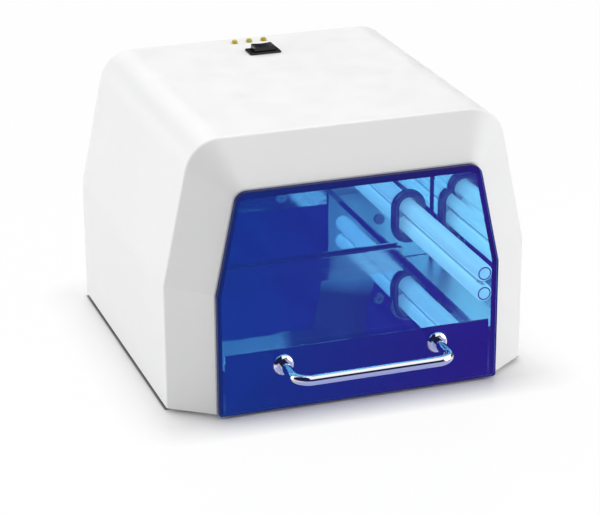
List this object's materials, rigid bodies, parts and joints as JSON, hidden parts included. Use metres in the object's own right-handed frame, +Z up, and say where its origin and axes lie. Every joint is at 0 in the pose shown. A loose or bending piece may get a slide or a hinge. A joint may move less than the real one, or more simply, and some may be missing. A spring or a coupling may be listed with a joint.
{
  "type": "dental lab light curing unit",
  "caption": "Table-top light curing unit with a white hood, a mirror-lined lamp chamber, a blue window drawer with a bow handle, a rocker switch and indicators.",
  "frame": {"origin": "on the table below the feet, at the middle of the overall width and of the overall length from the handle's front to the hood's rear edge", "axes": "+Z up, +Y to the rear (the drawer opens along -Y), +X to the right as seen from the front"},
  "size_m": [0.265, 0.2836, 0.1994],
  "materials": {
    "hood_white": "satin moulded",
    "filter_blue": "polished transparent acrylic",
    "black_rubber": "smooth",
    "chrome": "polished",
    "mirror_sheet": "mirror bright",
    "tray_steel": "brushed",
    "rail_steel": "zinc plated",
    "screw_steel": "plated",
    "lamp_glass": "frosted white phosphor coat",
    "lamp_base_white": "moulded",
    "socket_white": "moulded",
    "case_paint": "powder coat",
    "bracket_steel": "zinc plated",
    "ballast_paint": "plain",
    "board_green": "solder resist",
    "standoff_brass": "plain",
    "black_plastic": "moulded",
    "led_yellow": "clear tinted"
  },
  "bodies": {
    "cabinet": {"ballast_1": "ballast_paint", "ballast_2": "ballast_paint", "ballast_3": "ballast_paint", "base_plate": "case_paint", "board_standoffs": "standoff_brass", "cabinet_rail_left": "rail_steel", "cabinet_rail_right": "rail_steel", "case_screws": "screw_steel", "chamber_back_wall": "mirror_sheet", "chamber_left_wall": "mirror_sheet", "chamber_right_wall": "mirror_sheet", "chamber_roof": "mirror_sheet", "chamber_screws": "screw_steel", "control_board": "board_green", "feet": "black_rubber", "foot_screws": "screw_steel", "fuse_drawer": "black_plastic", "hood": "hood_white", "indicator_led_1": "led_yellow", "indicator_led_2": "led_yellow", "indicator_led_3": "led_yellow", "mains_inlet": "black_plastic", "opening_seal": "black_rubber", "rear_panel": "case_paint", "side_lamp_left_base": "lamp_base_white", "side_lamp_left_grommet": "black_rubber", "side_lamp_left_socket": "socket_white", "side_lamp_left_tubes": "lamp_glass", "side_lamp_right_base": "lamp_base_white", "side_lamp_right_grommet": "black_rubber", "side_lamp_right_socket": "socket_white", "side_lamp_right_tubes": "lamp_glass", "slide_bracket_left": "bracket_steel", "slide_bracket_right": "bracket_steel", "socket_bracket": "bracket_steel", "switch_body": "black_plastic", "top_lamp_1_base": "lamp_base_white", "top_lamp_1_socket": "socket_white", "top_lamp_1_tubes": "lamp_glass", "top_lamp_2_base": "lamp_base_white", "top_lamp_2_socket": "socket_white", "top_lamp_2_tubes": "lamp_glass", "top_lamp_3_base": "lamp_base_white", "top_lamp_3_socket": "socket_white", "top_lamp_3_tubes": "lamp_glass", "top_lamp_4_base": "lamp_base_white", "top_lamp_4_socket": "socket_white", "top_lamp_4_tubes": "lamp_glass", "top_lamp_grommets": "black_rubber"},
    "drawer": {"drawer_panel": "filter_blue", "drawer_tray": "tray_steel", "tray_mirror": "mirror_sheet", "handle_bar": "chrome", "handle_rosettes": "chrome", "handle_screws": "screw_steel", "drawer_rail_left": "rail_steel", "drawer_rail_right": "rail_steel"},
    "left_middle_rail": {"middle_rail_left": "rail_steel"},
    "right_middle_rail": {"middle_rail_right": "rail_steel"},
    "switch_rocker": {"rocker": "black_plastic"}
  },
  "joints": [
    {"name": "drawer_slide", "type": "slide", "parent": "cabinet", "child": "drawer", "axis": [0, -1, 0], "range_m": [0, 0.14]},
    {"name": "left_rail_slide", "type": "slide", "parent": "cabinet", "child": "left_middle_rail", "axis": [0, -1, 0], "range_m": [0, 0.07]},
    {"name": "right_rail_slide", "type": "slide", "parent": "cabinet", "child": "right_middle_rail", "axis": [0, -1, 0], "range_m": [0, 0.07]},
    {"name": "rocker_tilt", "type": "hinge", "parent": "cabinet", "child": "switch_rocker", "pos_m": [0, 0.10182, 0.193], "axis": [0, 1, 0], "range_deg": [-10, 10], "stiffness_Nm_per_rad": 0.01}
  ],
  "couplings": [
    {"joint": "left_rail_slide", "follows": "drawer_slide", "ratio": 0.5},
    {"joint": "right_rail_slide", "follows": "drawer_slide", "ratio": 0.5}
  ]
}
